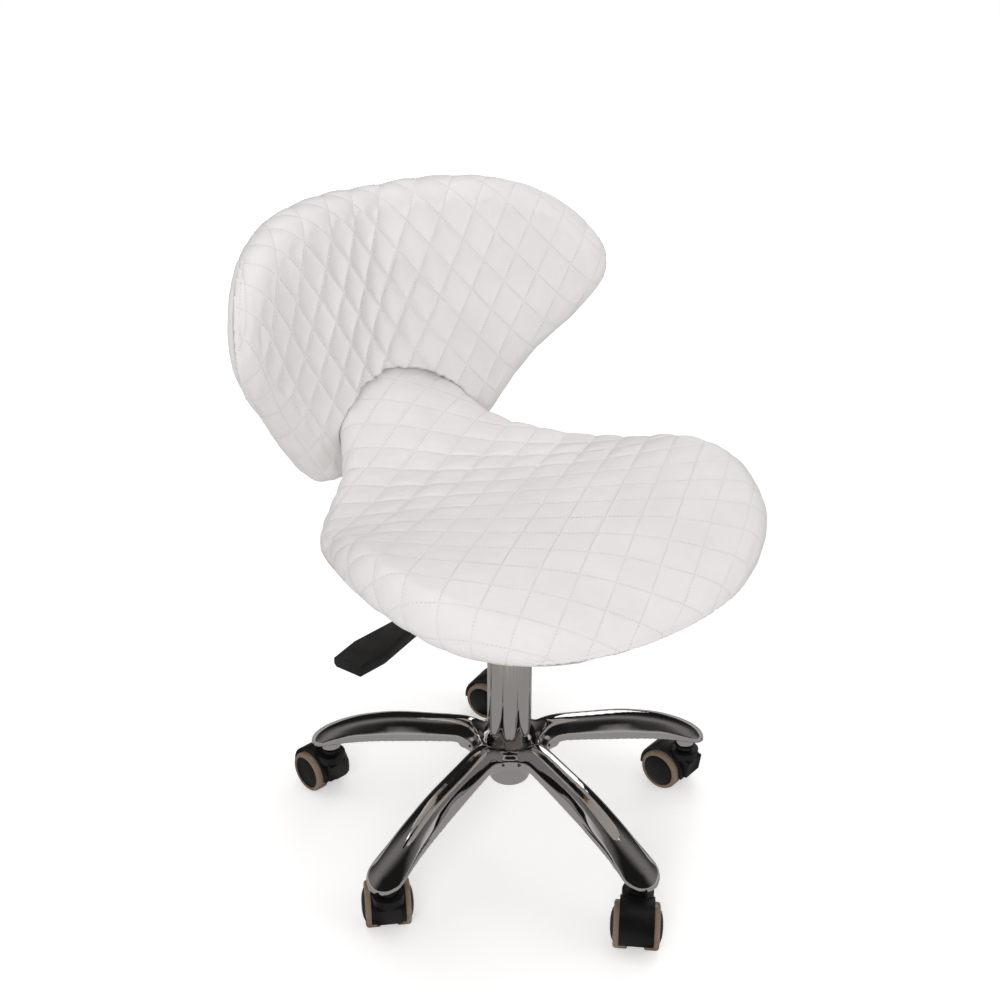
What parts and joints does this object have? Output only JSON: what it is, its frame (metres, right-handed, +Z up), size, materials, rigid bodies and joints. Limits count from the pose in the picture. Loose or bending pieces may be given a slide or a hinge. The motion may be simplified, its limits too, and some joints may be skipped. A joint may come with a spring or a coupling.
{
  "type": "pedicure stool",
  "caption": "Height-adjustable pedicure stool: quilted saddle seat with rear tongue, low curved quilted backrest, chrome gas-lift column, chrome star base on swivel casters, side lever.",
  "frame": {"origin": "on the floor, on the axis of the lift column", "axes": "+Z up along the lift column, -Y the way the sitter faces, +X to the sitter's left"},
  "size_m": [0.4963, 0.5498, 0.7134],
  "materials": {
    "chrome": "polished chrome plating",
    "steel": "zinc-plated steel",
    "black_steel": "black powder coat",
    "black_plastic": "fine-grained moulded nylon",
    "wheel_tread": "smooth taupe polyurethane",
    "plywood": "moulded plywood",
    "white_upholstery": "matte white upholstery leather over foam, diamond quilted",
    "lining": "white non-woven cloth"
  },
  "bodies": {
    "base": {"star_base": "chrome", "caster_sockets": "black_plastic", "caster_stems": "steel", "stem_grip_rings": "steel", "column_tube": "chrome", "guide_bush": "black_plastic", "thrust_washer": "steel"},
    "rod": {"piston_rod": "steel", "piston_head": "black_plastic", "thrust_bearing": "steel", "retaining_clip": "steel"},
    "seat": {"pressure_tube": "black_steel", "mechanism_plate": "black_steel", "mechanism_cone": "black_steel", "lever_pivot": "black_steel", "seat_board": "plywood", "seat_cushion": "white_upholstery", "seat_lining": "lining", "plate_bolts": "steel", "tee_nuts": "steel", "back_board": "plywood", "back_pad": "white_upholstery", "back_cover": "white_upholstery", "back_bracket": "black_steel", "back_bolts": "steel", "bracket_screws": "steel"},
    "lever": {"lever_rod": "black_steel", "lever_handle": "black_plastic"},
    "button": {"release_button": "steel"},
    "caster_1": {"caster_1_housing": "black_plastic", "caster_1_axle": "steel"},
    "caster_1_wheel_a": {"caster_1_wheel_a_tread": "wheel_tread", "caster_1_wheel_a_hub": "black_plastic"},
    "caster_1_wheel_b": {"caster_1_wheel_b_tread": "wheel_tread", "caster_1_wheel_b_hub": "black_plastic"},
    "caster_2": {"caster_2_housing": "black_plastic", "caster_2_axle": "steel"},
    "caster_2_wheel_a": {"caster_2_wheel_a_tread": "wheel_tread", "caster_2_wheel_a_hub": "black_plastic"},
    "caster_2_wheel_b": {"caster_2_wheel_b_tread": "wheel_tread", "caster_2_wheel_b_hub": "black_plastic"},
    "caster_3": {"caster_3_housing": "black_plastic", "caster_3_axle": "steel"},
    "caster_3_wheel_a": {"caster_3_wheel_a_tread": "wheel_tread", "caster_3_wheel_a_hub": "black_plastic"},
    "caster_3_wheel_b": {"caster_3_wheel_b_tread": "wheel_tread", "caster_3_wheel_b_hub": "black_plastic"},
    "caster_4": {"caster_4_housing": "black_plastic", "caster_4_axle": "steel"},
    "caster_4_wheel_a": {"caster_4_wheel_a_tread": "wheel_tread", "caster_4_wheel_a_hub": "black_plastic"},
    "caster_4_wheel_b": {"caster_4_wheel_b_tread": "wheel_tread", "caster_4_wheel_b_hub": "black_plastic"},
    "caster_5": {"caster_5_housing": "black_plastic", "caster_5_axle": "steel"},
    "caster_5_wheel_a": {"caster_5_wheel_a_tread": "wheel_tread", "caster_5_wheel_a_hub": "black_plastic"},
    "caster_5_wheel_b": {"caster_5_wheel_b_tread": "wheel_tread", "caster_5_wheel_b_hub": "black_plastic"}
  },
  "joints": [
    {"name": "seat_swivel", "type": "hinge", "parent": "base", "child": "rod", "pos_m": [0, 0, 0.08], "axis": [0, 0, 1], "continuous": true},
    {"name": "seat_height", "type": "slide", "parent": "rod", "child": "seat", "axis": [0, 0, 1], "range_m": [0, 0.1]},
    {"name": "lever_pull", "type": "hinge", "parent": "seat", "child": "lever", "pos_m": [-0.03825, -0.0117, 0.3723], "axis": [-0.2924, 0.9563, 0], "range_deg": [0, 5], "stiffness_Nm_per_rad": 0.5},
    {"name": "button_press", "type": "slide", "parent": "seat", "child": "button", "axis": [0, 0, -1], "range_m": [0, 0.0036], "stiffness_N_per_m": 100},
    {"name": "caster_1_swivel", "type": "hinge", "parent": "base", "child": "caster_1", "pos_m": [0, -0.225, 0.05], "axis": [0, 0, 1], "continuous": true},
    {"name": "caster_1_wheel_a_spin", "type": "hinge", "parent": "caster_1", "child": "caster_1_wheel_a", "pos_m": [-0.01364, -0.23963, 0.025], "axis": [0.7314, -0.682, 0], "continuous": true},
    {"name": "caster_1_wheel_b_spin", "type": "hinge", "parent": "caster_1", "child": "caster_1_wheel_b", "pos_m": [-0.01364, -0.23963, 0.025], "axis": [0.7314, -0.682, 0], "continuous": true},
    {"name": "caster_2_swivel", "type": "hinge", "parent": "base", "child": "caster_2", "pos_m": [0.21399, -0.06953, 0.05], "axis": [0, 0, 1], "continuous": true},
    {"name": "caster_2_wheel_a_spin", "type": "hinge", "parent": "caster_2", "child": "caster_2_wheel_a", "pos_m": [0.20949, -0.05004, 0.025], "axis": [-0.9744, -0.225, 0], "continuous": true},
    {"name": "caster_2_wheel_b_spin", "type": "hinge", "parent": "caster_2", "child": "caster_2_wheel_b", "pos_m": [0.20949, -0.05004, 0.025], "axis": [-0.9744, -0.225, 0], "continuous": true},
    {"name": "caster_3_swivel", "type": "hinge", "parent": "base", "child": "caster_3", "pos_m": [0.13225, 0.18203, 0.05], "axis": [0, 0, 1], "continuous": true},
    {"name": "caster_3_wheel_a_spin", "type": "hinge", "parent": "caster_3", "child": "caster_3_wheel_a", "pos_m": [0.12444, 0.20044, 0.025], "axis": [-0.9205, -0.3907, 0], "continuous": true},
    {"name": "caster_3_wheel_b_spin", "type": "hinge", "parent": "caster_3", "child": "caster_3_wheel_b", "pos_m": [0.12444, 0.20044, 0.025], "axis": [-0.9205, -0.3907, 0], "continuous": true},
    {"name": "caster_4_swivel", "type": "hinge", "parent": "base", "child": "caster_4", "pos_m": [-0.13225, 0.18203, 0.05], "axis": [0, 0, 1], "continuous": true},
    {"name": "caster_4_wheel_a_spin", "type": "hinge", "parent": "caster_4", "child": "caster_4_wheel_a", "pos_m": [-0.13469, 0.20188, 0.025], "axis": [-0.9925, -0.1219, 0], "continuous": true},
    {"name": "caster_4_wheel_b_spin", "type": "hinge", "parent": "caster_4", "child": "caster_4_wheel_b", "pos_m": [-0.13469, 0.20188, 0.025], "axis": [-0.9925, -0.1219, 0], "continuous": true},
    {"name": "caster_5_swivel", "type": "hinge", "parent": "base", "child": "caster_5", "pos_m": [-0.21399, -0.06953, 0.05], "axis": [0, 0, 1], "continuous": true},
    {"name": "caster_5_wheel_a_spin", "type": "hinge", "parent": "caster_5", "child": "caster_5_wheel_a", "pos_m": [-0.20429, -0.05204, 0.025], "axis": [-0.8746, 0.4848, 0], "continuous": true},
    {"name": "caster_5_wheel_b_spin", "type": "hinge", "parent": "caster_5", "child": "caster_5_wheel_b", "pos_m": [-0.20429, -0.05204, 0.025], "axis": [-0.8746, 0.4848, 0], "continuous": true}
  ],
  "couplings": [
    {"joint": "button_press", "follows": "lever_pull", "m_per_rad": 0.04}
  ]
}
